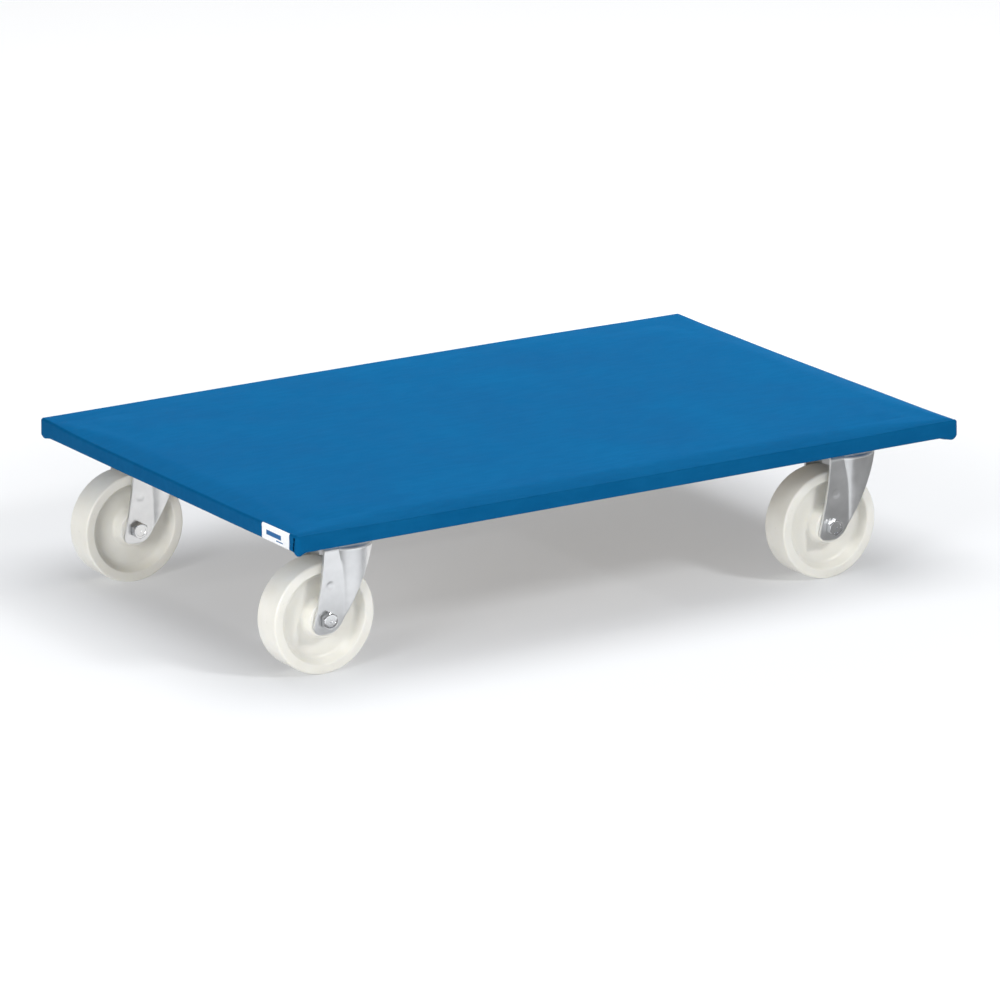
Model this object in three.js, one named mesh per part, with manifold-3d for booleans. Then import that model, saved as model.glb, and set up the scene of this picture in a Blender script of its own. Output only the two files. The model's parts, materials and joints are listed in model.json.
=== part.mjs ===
// Platform trolley: a board wrapped in coated fabric, carried by four swivel casters with
// one-piece polyamide wheels. Millimetres, +Z up, X along the deck's long side, Y across it.
// The origin is on the floor under the middle of the deck.
import * as THREE from "three";
import { mergeVertices } from "three/addons/utils/BufferGeometryUtils.js";
import Module from "manifold-3d";

const wasm = await Module();
wasm.setup();

// ---------------------------------------------------------------- driving dimensions
const GAP = 0.3; // clearance between pieces that touch

const DECK_LENGTH = 860;
const DECK_WIDTH = 566;
const DECK_CORNER_RADIUS = 4;
const DECK_EDGE_RADIUS = 3;
const BOARD_THICKNESS = 16;
const COVER_THICKNESS = 1.2;
const COVER_HEM = 30; // width of the fabric turned under the board
// The cover's felt backing thins out towards the edges: [distance from the edge, height above it].
const COVER_CROWN = [
  [3, 0],
  [10, 1.4],
  [20, 2.4],
  [34, 3],
];

const CASTER_X = 330; // swivel axes, from the middle of the deck
const CASTER_Y = 207.5;
const CASTER_HEIGHT = 160; // floor to the top of the caster's plate
const TRAIL = 34; // the wheel's axle runs this far behind the swivel axis

const WHEEL_RADIUS = 62.5;
const WHEEL_HALF_WIDTH = 19;
const HUB_HALF_LENGTH = 22;
const HUB_RADIUS = 20;
const HUB_FLARE = 3; // the hub widens by this much where it meets the web
const RIM_INNER_RADIUS = 51;
const RIM_DRAFT = 4; // the rim's inner wall narrows by this much down to the web
const WEB_HALF_THICKNESS = 7;
const TREAD_CHAMFER = 2;
const WHEEL_SEGMENTS = 24;

const SHEET = 3.5; // fork sheet steel
const LEG_INNER_Y = 22.5; // inner face of each fork leg
const LEG_BOTTOM = 47;
const HEAD_RADIUS = 33; // the fork's round head, at the start of its shoulder
const SKIRT_RADIUS = 29.6; // the head's skirt, lower down
const SKIRT_FLARE_Z = 105; // where the skirt starts to widen towards the shoulder
const BEND_RADIUS = 8; // outer radius of the bend from the legs and skirt into the crown
const BEND_STEPS = 3;
const CROWN_TOP = 146;
const CROWN_REAR_X = -37.5;
const FRONT_EDGE_TOP_X = 28; // the sloping front edge meets the head's rim here
const LEG_REAR_X = -60; // the flat legs are made long, and then trimmed to the outline
const LEG_FRONT_X = -13; // their front ends stop inside the head's wall
// Curves of the fork's outline as [x, z] control and end points, from the crown to the toe.
const REAR_EDGE = { control: [-40, 100], end: [-51, 58] };
const HEEL = { control: [-52, LEG_BOTTOM], end: [-43, LEG_BOTTOM] };
const TOE = { start: [-26, LEG_BOTTOM], control: [-20, LEG_BOTTOM], end: [-16.5, 56.5] };

const PLATE_LENGTH = 100;
const PLATE_WIDTH = 85;
const PLATE_THICKNESS = 4;
const PLATE_CORNER_RADIUS = 9;
const PLATE_BOSS_RADIUS = 17; // the level middle of the plate's pressed dish
const PLATE_BOSS_DROP = 3;
const PLATE_DISH_RADIUS = 35;
const SCREW_X = 40; // screw positions on the plate, from the swivel axis
const SCREW_Y = 30;
const SCREW_RADIUS = 4;
const SCREW_DEPTH = 13; // how far a screw goes into the board
const SCREW_POINT = 4; // length of a screw's tapered tip
const SCREW_TIP_RADIUS = 0.5;
const SCREW_SEGMENTS = 10;
const SCREW_HEAD_FLATS = 13;
const SCREW_HEAD_HEIGHT = 5.5;

const UPPER_RACE = { radius: 25, ball: 3, z: 150.5 };
const LOWER_RACE = { radius: 19.5, ball: 2.5, z: 141.5 };
const RACE_OPENING = 2.4; // space left between the two halves of a ball race
const RACE_FACE_INNER = 19; // the upper race's two faces lie between these radii
const RACE_FACE_OUTER = 32;
const RACE_RING_OUTER = 29.5; // the fork's raised ring, at its top and at its widest
const RACE_RING_WIDEST = 30.5;
const CUP_RADIUS = 23.5;
const CUP_NECK_RADIUS = 13;
const CUP_TIP_RADIUS = 12.5;
const CROWN_BORE = 15;
const KINGPIN_RADIUS = 6;
const KINGPIN_HEAD_RADIUS = 9;
const RIVET_HEAD_RADIUS = 10;
const RIVET_HEAD_HEIGHT = 3.5;
const RIVET_HEAD_BEVEL = { radius: 3, height: 2 };
const RECESS_DEPTH = 3.4; // the kingpin's upper head sits below the plate's top face

const AXLE_RADIUS = 5;
const AXLE_HEAD_FLATS = 17;
const AXLE_HEAD_HEIGHT = 6.4;
const NUT_HEIGHT = 8;
const NUT_COLLAR_RADIUS = 7.6;
const NUT_COLLAR_HEIGHT = 2.4;
const AXLE_END = 2; // thread standing out of the nut
const TUBE_RADIUS = 7.5;

const LABEL_WIDTH = 57;
const LABEL_CENTRE_Y = -237;
const LABEL_THICKNESS = 0.3;
const LABEL_GAP = 0.1;

const ROUND_SEGMENTS = 24; // facets of the swivel head's turned pieces
const PIN_SEGMENTS = 12; // facets of pins, bolts and their holes
const RACE_SIDES = 4; // each ball race is a pair of V-shaped grooves

// ---------------------------------------------------------------- derived levels
const BOARD_BOTTOM = CASTER_HEIGHT + GAP;
const BOARD_TOP = BOARD_BOTTOM + BOARD_THICKNESS;
const SKIN = GAP + COVER_THICKNESS; // from the board's face to the cover's outer face
const DECK_BOTTOM = BOARD_BOTTOM - SKIN;
const DECK_EDGE_TOP = BOARD_TOP + SKIN;
const PLATE_BOTTOM = CASTER_HEIGHT - PLATE_THICKNESS;
const LEG_OUTER_Y = LEG_INNER_Y + SHEET;
const CROWN_BOTTOM = CROWN_TOP - SHEET;
const CUP_TOP = LOWER_RACE.z - RACE_OPENING / 2;
const CUP_BOTTOM = CUP_TOP - SHEET;
const BOSS_LEVEL = PLATE_BOTTOM - PLATE_BOSS_DROP; // here the plate meets the lower cup
const SCREW_HOLE = SCREW_RADIUS + 0.5;
const PIN_HOLE = KINGPIN_RADIUS + 0.4;
const AXLE_HOLE = AXLE_RADIUS + 0.4;

// ---------------------------------------------------------------- materials
const finish = (color, roughness, metalness) =>
  new THREE.MeshStandardMaterial({ color, roughness, metalness });
const COVER_BLUE = finish(0x1566a4, 0.55, 0);
const PLYWOOD = finish(0xc9a878, 0.75, 0);
const LABEL_WHITE = finish(0xf4f5f6, 0.4, 0);
const ZINC = finish(0xc9cbcd, 0.38, 0.9);
const BRIGHT_STEEL = finish(0xd8dadc, 0.22, 1);
const POLYAMIDE = finish(0xe9e6da, 0.35, 0);

// ---------------------------------------------------------------- helpers
function solid(geometry) {
  const plain = (geometry.index ? geometry.toNonIndexed() : geometry.clone());
  plain.deleteAttribute("normal");
  plain.deleteAttribute("uv");
  const merged = mergeVertices(plain, 1e-3);
  return new wasm.Manifold(
    new wasm.Mesh({
      numProp: 3,
      vertProperties: merged.attributes.position.array,
      triVerts: new Uint32Array(merged.index.array),
    }),
  );
}

function geometryOf(body) {
  const { numProp, numVert, vertProperties, triVerts } = body.getMesh();
  const positions = new Float32Array(numVert * 3);
  for (let i = 0; i < numVert; i++) {
    positions.set(vertProperties.subarray(i * numProp, i * numProp + 3), i * 3);
  }
  return new THREE.BufferGeometry()
    .setAttribute("position", new THREE.BufferAttribute(positions, 3))
    .setIndex(new THREE.BufferAttribute(triVerts, 1));
}

const joined = (first, ...others) =>
  geometryOf(others.reduce((sum, next) => sum.add(solid(next)), solid(first)));

const cut = (body, ...tools) =>
  geometryOf(tools.reduce((rest, tool) => rest.subtract(solid(tool)), solid(body)));

const shared = (a, b) => geometryOf(solid(a).intersect(solid(b)));

// A ring or disc turned about +Z. The profile lists [radius, z] clockwise, and closes itself
// unless it starts and ends on the axis.
function turned(profile, segments = ROUND_SEGMENTS) {
  const points = profile.map(([r, z]) => new THREE.Vector2(r, z));
  if (points[0].x > 0) points.push(points[0].clone());
  return new THREE.LatheGeometry(points, segments).rotateX(Math.PI / 2);
}

// An upright cylinder from z = low to z = high.
const cylinder = (radius, low, high, segments = ROUND_SEGMENTS) =>
  new THREE.CylinderGeometry(radius, radius, high - low, segments)
    .rotateX(Math.PI / 2)
    .translate(0, 0, (low + high) / 2);

// A hexagonal prism measured across its flats, from z = low to z = high.
const hexagon = (flats, low, high) =>
  cylinder(flats / Math.sqrt(3), low, high, 6);

// A cylinder or hexagon made along +Z, laid along +Y instead.
const alongY = (geometry) => geometry.rotateX(-Math.PI / 2);

const pin = (radius, low, high) => cylinder(radius, low, high, PIN_SEGMENTS);

const prism = (shape, low, high) =>
  new THREE.ExtrudeGeometry(shape, {
    depth: high - low,
    bevelEnabled: false,
    curveSegments: 3,
  }).translate(0, 0, low);

function roundedRectangle(length, width, radius) {
  const x = length / 2;
  const y = width / 2;
  const shape = new THREE.Shape();
  shape.moveTo(x, y - radius);
  shape.absarc(x - radius, y - radius, radius, 0, Math.PI / 2);
  shape.absarc(radius - x, y - radius, radius, Math.PI / 2, Math.PI);
  shape.absarc(radius - x, radius - y, radius, Math.PI, 1.5 * Math.PI);
  shape.absarc(x - radius, radius - y, radius, 1.5 * Math.PI, 2 * Math.PI);
  return shape;
}

// The wrapped board's slab, with rounded corners and edges, grown outwards by `grow`.
function deckSlab(grow) {
  const edge = DECK_EDGE_RADIUS - SKIN + grow;
  const thickness = BOARD_THICKNESS + 2 * grow;
  const shape = roundedRectangle(
    DECK_LENGTH - 2 * (SKIN - grow),
    DECK_WIDTH - 2 * (SKIN - grow),
    DECK_CORNER_RADIUS - SKIN + grow,
  );
  return new THREE.ExtrudeGeometry(shape, {
    depth: thickness - 2 * edge,
    bevelThickness: edge,
    bevelSize: edge,
    bevelOffset: -edge,
    bevelSegments: 2,
    curveSegments: 2,
  }).translate(0, 0, BOARD_BOTTOM - grow + edge);
}

const corners = (x, y) => [
  [-x, -y],
  [x, -y],
  [-x, y],
  [x, y],
];

// ---------------------------------------------------------------- deck
function makeBoard() {
  const holes = [];
  for (const [cx, cy] of corners(CASTER_X, CASTER_Y)) {
    for (const [sx, sy] of corners(SCREW_X, SCREW_Y)) {
      const low = BOARD_BOTTOM - 1;
      const high = BOARD_BOTTOM + SCREW_DEPTH + GAP;
      holes.push(cylinder(SCREW_HOLE, low, high, 8).translate(cx + sx, cy + sy, 0));
    }
  }
  return cut(deckSlab(0), ...holes);
}

// The cover's gently crowned top, as the hull of one rectangle for each step of its rise.
function coverCrown() {
  const points = COVER_CROWN.flatMap(([inset, rise]) =>
    corners(DECK_LENGTH / 2 - inset, DECK_WIDTH / 2 - inset).flatMap(([x, y]) => [
      [x, y, DECK_EDGE_TOP + rise],
      [x, y, BOARD_TOP + GAP],
    ]),
  );
  return geometryOf(wasm.Manifold.hull(points));
}

// The fabric: over the top, down the sides and turned under as a hem all round.
function makeCover() {
  const window = roundedRectangle(
    DECK_LENGTH - 2 * COVER_HEM,
    DECK_WIDTH - 2 * COVER_HEM,
    DECK_CORNER_RADIUS,
  );
  const opening = prism(window, DECK_BOTTOM - 1, BOARD_BOTTOM + 1);
  return cut(joined(deckSlab(SKIN), coverCrown()), deckSlab(GAP), opening);
}

// A thin sticker that follows the rounded end of the deck.
function makeLabel() {
  const inner = DECK_EDGE_RADIUS + LABEL_GAP;
  const outer = inner + LABEL_THICKNESS;
  const edgeX = DECK_EDGE_RADIUS - DECK_LENGTH / 2; // centre line of both edge roundings
  const lowZ = DECK_BOTTOM + DECK_EDGE_RADIUS;
  const highZ = DECK_EDGE_TOP - DECK_EDGE_RADIUS;
  const reach = Math.PI / 3; // how far the sticker wraps round each rounding
  const shape = new THREE.Shape();
  shape.absarc(edgeX, highZ, outer, Math.PI - reach, Math.PI);
  shape.absarc(edgeX, lowZ, outer, Math.PI, Math.PI + reach);
  shape.absarc(edgeX, lowZ, inner, Math.PI + reach, Math.PI, true);
  shape.absarc(edgeX, highZ, inner, Math.PI, Math.PI - reach, true);
  return new THREE.ExtrudeGeometry(shape, {
    depth: LABEL_WIDTH,
    bevelEnabled: false,
    curveSegments: 3,
  })
    .rotateX(Math.PI / 2)
    .translate(0, LABEL_CENTRE_Y + LABEL_WIDTH / 2, 0);
}

// ---------------------------------------------------------------- caster head
const raceRing = (race, clearance) =>
  new THREE.TorusGeometry(race.radius, race.ball + clearance, RACE_SIDES, ROUND_SEGMENTS).translate(
    0, 0, race.z,
  );

const ballRing = (race) => raceRing(race, 0);

// The groove also clears the ring's corners when the facets of the two are out of step.
function raceGroove(race) {
  const facetDepth = (race.radius + race.ball) * (1 - Math.cos(Math.PI / ROUND_SEGMENTS));
  return raceRing(race, GAP + facetDepth);
}

function makeTopPlate() {
  const raceFace = UPPER_RACE.z + RACE_OPENING / 2;
  const slab = prism(
    roundedRectangle(PLATE_LENGTH, PLATE_WIDTH, PLATE_CORNER_RADIUS),
    PLATE_BOTTOM,
    CASTER_HEIGHT,
  );
  const raceDish = turned([
    [0, BOSS_LEVEL],
    [PLATE_BOSS_RADIUS, BOSS_LEVEL],
    [RACE_FACE_INNER, raceFace],
    [RACE_FACE_OUTER, raceFace],
    [PLATE_DISH_RADIUS, PLATE_BOTTOM + 1],
    [0, PLATE_BOTTOM + 1],
  ]);
  const recess = pin(
    KINGPIN_HEAD_RADIUS + 0.4,
    CASTER_HEIGHT - RECESS_DEPTH,
    CASTER_HEIGHT + 1,
  );
  const holes = corners(SCREW_X, SCREW_Y).map(([x, y]) =>
    cylinder(SCREW_HOLE, PLATE_BOTTOM - 1, CASTER_HEIGHT + 1, 8).translate(x, y, 0),
  );
  return cut(
    joined(slab, raceDish),
    raceGroove(UPPER_RACE),
    recess,
    pin(PIN_HOLE, BOSS_LEVEL - 1, CASTER_HEIGHT),
    ...holes,
  );
}

// The lower half of the second ball race. Its middle reaches up through the fork's head to the
// plate, and the kingpin clamps the two together.
function makeLowerCup() {
  const blank = turned([
    [0, CUP_BOTTOM],
    [CUP_RADIUS, CUP_BOTTOM],
    [CUP_RADIUS, CUP_TOP],
    [CUP_NECK_RADIUS, CUP_TOP],
    [CUP_TIP_RADIUS, BOSS_LEVEL - GAP],
    [0, BOSS_LEVEL - GAP],
  ]);
  const bore = pin(PIN_HOLE, CUP_BOTTOM - 1, BOSS_LEVEL + 1);
  return cut(blank, raceGroove(LOWER_RACE), bore);
}

function makeKingpin() {
  const underCup = CUP_BOTTOM - GAP;
  const inRecess = CASTER_HEIGHT - RECESS_DEPTH + GAP;
  const profile = [
    [0, underCup - RIVET_HEAD_HEIGHT],
    [RIVET_HEAD_RADIUS - RIVET_HEAD_BEVEL.radius, underCup - RIVET_HEAD_HEIGHT],
    [RIVET_HEAD_RADIUS, underCup - RIVET_HEAD_HEIGHT + RIVET_HEAD_BEVEL.height],
    [RIVET_HEAD_RADIUS, underCup],
    [KINGPIN_RADIUS, underCup],
    [KINGPIN_RADIUS, inRecess],
    [KINGPIN_HEAD_RADIUS, inRecess],
    [KINGPIN_HEAD_RADIUS, CASTER_HEIGHT - GAP],
    [0, CASTER_HEIGHT - GAP],
  ];
  return turned(profile, PIN_SEGMENTS);
}

// ---------------------------------------------------------------- fork
// The fork is one pressed sheet. Each of its surfaces is made twice, as a solid at the sheet's
// outer face (inset 0) and as a solid at its inner face (inset SHEET), and the second is cut
// from the first.

// The two flat legs and the bend over the top between them: an upside-down U swept along X.
function legTunnel(inset, rearX, frontX) {
  const y = LEG_OUTER_Y - inset;
  const top = CROWN_TOP - inset;
  const bend = BEND_RADIUS - inset;
  const shape = new THREE.Shape();
  shape.moveTo(-y, LEG_BOTTOM - 1);
  shape.lineTo(y, LEG_BOTTOM - 1);
  shape.absarc(y - bend, top - bend, bend, 0, Math.PI / 2);
  shape.absarc(bend - y, top - bend, bend, Math.PI / 2, Math.PI);
  return new THREE.ExtrudeGeometry(shape, {
    depth: frontX - rearX,
    bevelEnabled: false,
    curveSegments: 2,
  })
    .translate(0, 0, rearX)
    .rotateX(Math.PI / 2)
    .rotateZ(Math.PI / 2);
}

// The round head over the swivel axis, whose skirt steps out from the flat legs.
function roundHead(inset) {
  const bend = BEND_RADIUS - inset;
  const profile = [
    [0, LEG_BOTTOM - 1],
    [SKIRT_RADIUS - inset, LEG_BOTTOM - 1],
    [SKIRT_RADIUS - inset, SKIRT_FLARE_Z],
  ];
  for (let step = 0; step <= BEND_STEPS; step++) {
    const angle = (step / BEND_STEPS) * (Math.PI / 2);
    profile.push([
      HEAD_RADIUS - BEND_RADIUS + bend * Math.cos(angle),
      CROWN_TOP - BEND_RADIUS + bend * Math.sin(angle),
    ]);
  }
  profile.push([0, CROWN_TOP - inset]);
  return turned(profile);
}

// The outline that the sheet is cut to, seen from the side: the rear edge, the rounded foot
// around the axle, and the straight front edge up to the head.
function sideOutline() {
  const shape = new THREE.Shape();
  shape.moveTo(CROWN_REAR_X, CROWN_TOP);
  shape.lineTo(CROWN_REAR_X, CROWN_TOP - BEND_RADIUS);
  shape.quadraticCurveTo(...REAR_EDGE.control, ...REAR_EDGE.end);
  shape.quadraticCurveTo(...HEEL.control, ...HEEL.end);
  shape.lineTo(...TOE.start);
  shape.quadraticCurveTo(...TOE.control, ...TOE.end);
  shape.lineTo(FRONT_EDGE_TOP_X, CROWN_TOP - BEND_RADIUS);
  shape.lineTo(HEAD_RADIUS + 1, CROWN_TOP - BEND_RADIUS);
  shape.lineTo(HEAD_RADIUS + 1, CROWN_TOP);
  return new THREE.ExtrudeGeometry(shape, {
    depth: 2 * HEAD_RADIUS + 2,
    bevelEnabled: false,
    curveSegments: 4,
  })
    .rotateX(Math.PI / 2)
    .translate(0, HEAD_RADIUS + 1, 0);
}

function makeFork() {
  const raceFace = UPPER_RACE.z - RACE_OPENING / 2;
  const sheet = cut(
    joined(legTunnel(0, LEG_REAR_X, LEG_FRONT_X), roundHead(0)),
    legTunnel(SHEET, LEG_REAR_X - 1, 0),
    roundHead(SHEET),
  );
  const raisedRing = turned([
    [CROWN_BORE - 1, CROWN_BOTTOM],
    [RACE_RING_OUTER - 1.5, CROWN_BOTTOM],
    [RACE_RING_WIDEST, raceFace - 1],
    [RACE_RING_OUTER, raceFace],
    [RACE_FACE_INNER, raceFace],
    [CROWN_BORE - 1, CROWN_TOP],
  ]);
  const axleHole = alongY(pin(AXLE_HOLE, -LEG_OUTER_Y - 1, LEG_OUTER_Y + 1));
  axleHole.translate(-TRAIL, 0, WHEEL_RADIUS);
  return cut(
    joined(shared(sheet, sideOutline()), raisedRing),
    cylinder(CROWN_BORE, CROWN_BOTTOM - 1, raceFace + 1),
    raceGroove(UPPER_RACE),
    raceGroove(LOWER_RACE),
    axleHole,
  );
}

// ---------------------------------------------------------------- wheel and axle
// The radii are stretched a little so that the facets, not their corners, lie on the true circle.
function makeWheel() {
  const stretch = 1 / Math.cos(Math.PI / WHEEL_SEGMENTS);
  const bore = TUBE_RADIUS + 0.5;
  const half = [
    [bore, HUB_HALF_LENGTH],
    [HUB_RADIUS, HUB_HALF_LENGTH],
    [HUB_RADIUS + HUB_FLARE, WEB_HALF_THICKNESS],
    [RIM_INNER_RADIUS - RIM_DRAFT, WEB_HALF_THICKNESS],
    [RIM_INNER_RADIUS, WHEEL_HALF_WIDTH],
    [WHEEL_RADIUS - TREAD_CHAMFER, WHEEL_HALF_WIDTH],
    [WHEEL_RADIUS, WHEEL_HALF_WIDTH - TREAD_CHAMFER],
  ];
  const otherHalf = half.map(([r, y]) => [r, -y]).reverse();
  const points = [...half, ...otherHalf, half[0]]
    .reverse()
    .map(([r, y]) => new THREE.Vector2(r * stretch, y));
  return new THREE.LatheGeometry(points, WHEEL_SEGMENTS, Math.PI / WHEEL_SEGMENTS);
}

function makeAxleTube() {
  const half = (HUB_HALF_LENGTH + LEG_INNER_Y) / 2 - 0.05;
  const profile = [
    [AXLE_HOLE, -half],
    [TUBE_RADIUS, -half],
    [TUBE_RADIUS, half],
    [AXLE_HOLE, half],
  ];
  return alongY(turned(profile, PIN_SEGMENTS));
}

// The head faces -Y.
function makeAxleBolt() {
  const face = LEG_OUTER_Y + GAP;
  const end = face + NUT_HEIGHT + NUT_COLLAR_HEIGHT + AXLE_END;
  const head = hexagon(AXLE_HEAD_FLATS, -face - AXLE_HEAD_HEIGHT, -face);
  const shank = pin(AXLE_RADIUS, -face - 1, end);
  return alongY(joined(head, shank));
}

function makeAxleNut() {
  const face = LEG_OUTER_Y + GAP;
  const top = face + NUT_HEIGHT + NUT_COLLAR_HEIGHT;
  const hex = hexagon(AXLE_HEAD_FLATS, face, face + NUT_HEIGHT);
  const collar = pin(NUT_COLLAR_RADIUS, face + 1, top);
  return alongY(cut(joined(hex, collar), pin(AXLE_HOLE, face - 1, top + 1)));
}

// A hexagon-head wood screw, driven upwards through the plate into the board.
function makeScrew() {
  const headTop = PLATE_BOTTOM - GAP;
  const tip = BOARD_BOTTOM + SCREW_DEPTH;
  const head = hexagon(SCREW_HEAD_FLATS, headTop - SCREW_HEAD_HEIGHT, headTop);
  const shank = turned(
    [
      [0, headTop - 1],
      [SCREW_RADIUS, headTop - 1],
      [SCREW_RADIUS, tip - SCREW_POINT],
      [SCREW_TIP_RADIUS, tip],
      [0, tip],
    ],
    SCREW_SEGMENTS,
  );
  return joined(head, shank);
}

// ---------------------------------------------------------------- assembly
const trolley = new THREE.Group();

function addMesh(parent, name, geometry, material) {
  const mesh = new THREE.Mesh(geometry, material);
  mesh.name = name;
  parent.add(mesh);
  return mesh;
}

addMesh(trolley, "deck_board", makeBoard(), PLYWOOD);
addMesh(trolley, "deck_cover", makeCover(), COVER_BLUE);
addMesh(trolley, "deck_label", makeLabel(), LABEL_WHITE);

const topPlate = makeTopPlate();
const upperBalls = ballRing(UPPER_RACE);
const lowerBalls = ballRing(LOWER_RACE);
const lowerCup = makeLowerCup();
const kingpin = makeKingpin();
const fork = makeFork();
const wheel = makeWheel();
const axleTube = makeAxleTube();
const axleBolt = makeAxleBolt();
const axleNut = makeAxleNut();
const screw = makeScrew();

const CASTERS = ["front_left", "front_right", "rear_left", "rear_right"];

corners(CASTER_X, CASTER_Y).forEach(([x, y], index) => {
  const corner = CASTERS[index];
  const caster = new THREE.Group();
  caster.position.set(x, y, 0);
  trolley.add(caster);

  addMesh(caster, `${corner}_top_plate`, topPlate, ZINC);
  addMesh(caster, `${corner}_upper_balls`, upperBalls, BRIGHT_STEEL);
  addMesh(caster, `${corner}_fork`, fork, ZINC);
  addMesh(caster, `${corner}_lower_balls`, lowerBalls, BRIGHT_STEEL);
  addMesh(caster, `${corner}_lower_cup`, lowerCup, ZINC);
  addMesh(caster, `${corner}_kingpin`, kingpin, BRIGHT_STEEL);
  corners(SCREW_X, SCREW_Y).forEach(([sx, sy], number) => {
    addMesh(caster, `${corner}_screw_${number + 1}`, screw, BRIGHT_STEEL).position.set(sx, sy, 0);
  });

  const axle = new THREE.Group();
  axle.position.set(-TRAIL, 0, WHEEL_RADIUS);
  caster.add(axle);
  addMesh(axle, `${corner}_wheel`, wheel, POLYAMIDE);
  addMesh(axle, `${corner}_axle_tube`, axleTube, ZINC);
  addMesh(axle, `${corner}_axle_bolt`, axleBolt, BRIGHT_STEEL);
  addMesh(axle, `${corner}_axle_nut`, axleNut, BRIGHT_STEEL);
});

export default trolley;
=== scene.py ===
import json
import math
import random

import bmesh
import bpy
from mathutils import Matrix, Vector, geometry, noise


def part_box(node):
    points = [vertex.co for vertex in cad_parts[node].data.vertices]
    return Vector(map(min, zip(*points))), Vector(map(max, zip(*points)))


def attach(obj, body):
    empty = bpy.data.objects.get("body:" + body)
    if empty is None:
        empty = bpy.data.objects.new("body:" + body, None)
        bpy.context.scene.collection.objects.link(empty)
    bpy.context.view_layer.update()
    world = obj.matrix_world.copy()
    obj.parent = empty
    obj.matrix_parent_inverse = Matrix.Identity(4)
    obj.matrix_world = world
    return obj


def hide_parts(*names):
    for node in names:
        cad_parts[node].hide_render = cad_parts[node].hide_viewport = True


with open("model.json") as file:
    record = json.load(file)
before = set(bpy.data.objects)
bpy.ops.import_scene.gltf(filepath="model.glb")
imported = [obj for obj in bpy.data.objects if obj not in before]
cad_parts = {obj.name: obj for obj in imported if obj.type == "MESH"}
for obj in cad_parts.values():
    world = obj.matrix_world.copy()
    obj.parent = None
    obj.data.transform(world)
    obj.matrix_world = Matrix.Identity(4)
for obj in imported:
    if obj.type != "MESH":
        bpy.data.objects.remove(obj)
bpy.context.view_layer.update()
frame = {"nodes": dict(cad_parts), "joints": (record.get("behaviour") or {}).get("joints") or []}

MM = 0.001
CASTERS = ("front_left", "front_right", "rear_left", "rear_right")
JOINTS = {joint["name"]: joint for joint in frame["joints"]}
DECK_LOW, DECK_HIGH = (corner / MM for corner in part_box("deck_cover"))

# Sizes of the casters in millimetres, measured from the swivel axis and the floor.
PLATE = {"x": 50, "y": 42.5, "corner": 9, "low": 156, "high": 160}
SCREWS = [(x, y) for y in (-30, 30) for x in (-40, 40)]
UPPER_RACE = {"radius": 25, "ball": 3, "z": 150.5, "count": 25}
LOWER_RACE = {"radius": 19.5, "ball": 2.5, "z": 141.5, "count": 23}
RACE_OPENING = 2.4
SHEET = 3.5
LEG_Y = 26
HEAD_RADIUS = 32.6
BEND = 8
BEND_Z = 138
REAR_X = -37.5
CROWN_HOLE = 15
FOOT_Z = 47
TRAIL = 34
AXLE_Z = 62.5
AXLE_HEX, SCREW_HEX = 17, 13  # across the flats
HEX_POINTS = 72
ROUND_POINTS = 96


# ---- camera
def make_camera():
    """A long lens that looks down on the trolley's front corner, at the photograph's angle."""
    azimuth, elevation, roll = (math.radians(a) for a in (-32.14, 16.03, -0.28))
    eye = (-4.1235, -6.5658, 2.3111)
    data = bpy.data.cameras.new("camera")
    data.sensor_width = 36
    data.lens = 257.86
    data.clip_end = 200
    camera = bpy.data.objects.new("camera", data)
    camera.matrix_world = (
        Matrix.Translation(eye)
        @ Matrix.Rotation(azimuth, 4, "Z")
        @ Matrix.Rotation(math.pi / 2 - elevation, 4, "X")
        @ Matrix.Rotation(roll, 4, "Z")
    )
    bpy.context.scene.collection.objects.link(camera)
    bpy.context.scene.camera = camera


# ---- materials
THREAD_PITCH = 0.0017  # the wavelength of the canvas's weave, in metres


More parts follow.
